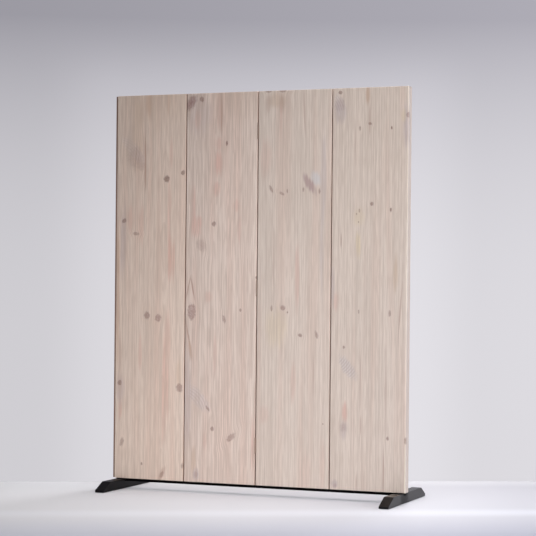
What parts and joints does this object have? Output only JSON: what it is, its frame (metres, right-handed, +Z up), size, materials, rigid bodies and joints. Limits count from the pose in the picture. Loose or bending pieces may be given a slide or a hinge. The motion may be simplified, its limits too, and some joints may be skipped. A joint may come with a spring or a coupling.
{
  "type": "folding room divider screen",
  "caption": "Tall freestanding folding screen of wide vertical whitewashed pine boards, edge to edge on vertical hinges, on low dark slant-ended feet.",
  "frame": {"origin": "floor level under the middle of the open screen's footprint", "axes": "+Z up, +X along the open screen from its left end to its right end seen from the front, -Y towards the front"},
  "size_m": [1.2124, 0.45, 1.54],
  "materials": {
    "pine_board": "whitewashed knotty pine, matt lacquer",
    "pine_core": "plain planed pine",
    "dark_tongue": "dark stained, matt",
    "black_strip": "black powder coat, matt",
    "black_foot": "black powder coat, satin",
    "hinge_bronze": "dull bronzed steel",
    "dark_steel": "blackened steel",
    "steel_insert": "zinc plated",
    "rubber_pad": "matt"
  },
  "bodies": {
    "leaf_1": {"leaf_1_front_board": "pine_board", "leaf_1_back_board": "pine_board", "leaf_1_left_stile": "pine_core", "leaf_1_right_stile": "pine_core", "leaf_1_rails": "pine_core", "leaf_1_tongue": "dark_tongue", "leaf_1_base_strip": "black_strip", "leaf_1_strip_screws": "dark_steel", "hinge_1_left_plates": "hinge_bronze", "hinge_1_left_screws": "hinge_bronze", "left_foot": "black_foot", "left_foot_pads": "rubber_pad", "left_foot_screws": "dark_steel", "left_foot_inserts": "steel_insert"},
    "leaf_2": {"leaf_2_front_board": "pine_board", "leaf_2_back_board": "pine_board", "leaf_2_left_stile": "pine_core", "leaf_2_right_stile": "pine_core", "leaf_2_rails": "pine_core", "leaf_2_tongue": "dark_tongue", "leaf_2_base_strip": "black_strip", "leaf_2_strip_screws": "dark_steel", "hinge_1_right_plates": "hinge_bronze", "hinge_1_right_screws": "hinge_bronze", "hinge_1_pins": "hinge_bronze", "hinge_2_left_plates": "hinge_bronze", "hinge_2_left_screws": "hinge_bronze", "hinge_2_pins": "hinge_bronze"},
    "leaf_3": {"leaf_3_front_board": "pine_board", "leaf_3_back_board": "pine_board", "leaf_3_left_stile": "pine_core", "leaf_3_right_stile": "pine_core", "leaf_3_rails": "pine_core", "leaf_3_tongue": "dark_tongue", "leaf_3_base_strip": "black_strip", "leaf_3_strip_screws": "dark_steel", "hinge_2_right_plates": "hinge_bronze", "hinge_2_right_screws": "hinge_bronze", "hinge_3_left_plates": "hinge_bronze", "hinge_3_left_screws": "hinge_bronze", "hinge_3_pins": "hinge_bronze"},
    "leaf_4": {"leaf_4_front_board": "pine_board", "leaf_4_back_board": "pine_board", "leaf_4_left_stile": "pine_core", "leaf_4_right_stile": "pine_core", "leaf_4_rails": "pine_core", "leaf_4_tongue": "dark_tongue", "leaf_4_base_strip": "black_strip", "leaf_4_strip_screws": "dark_steel", "hinge_3_right_plates": "hinge_bronze", "hinge_3_right_screws": "hinge_bronze", "right_foot": "black_foot", "right_foot_pads": "rubber_pad", "right_foot_screws": "dark_steel", "right_foot_inserts": "steel_insert"}
  },
  "joints": [
    {"name": "hinge_1", "type": "hinge", "parent": "leaf_2", "child": "leaf_1", "pos_m": [-0.29225, -0.009, 0.79], "axis": [0, 0, -1], "range_deg": [0, 100]},
    {"name": "hinge_2", "type": "hinge", "parent": "leaf_2", "child": "leaf_3", "pos_m": [0.00775, -0.051, 0.79], "axis": [0, 0, -1], "range_deg": [0, 140]},
    {"name": "hinge_3", "type": "hinge", "parent": "leaf_3", "child": "leaf_4", "pos_m": [0.30775, -0.009, 0.79], "axis": [0, 0, 1], "range_deg": [0, 100]}
  ]
}
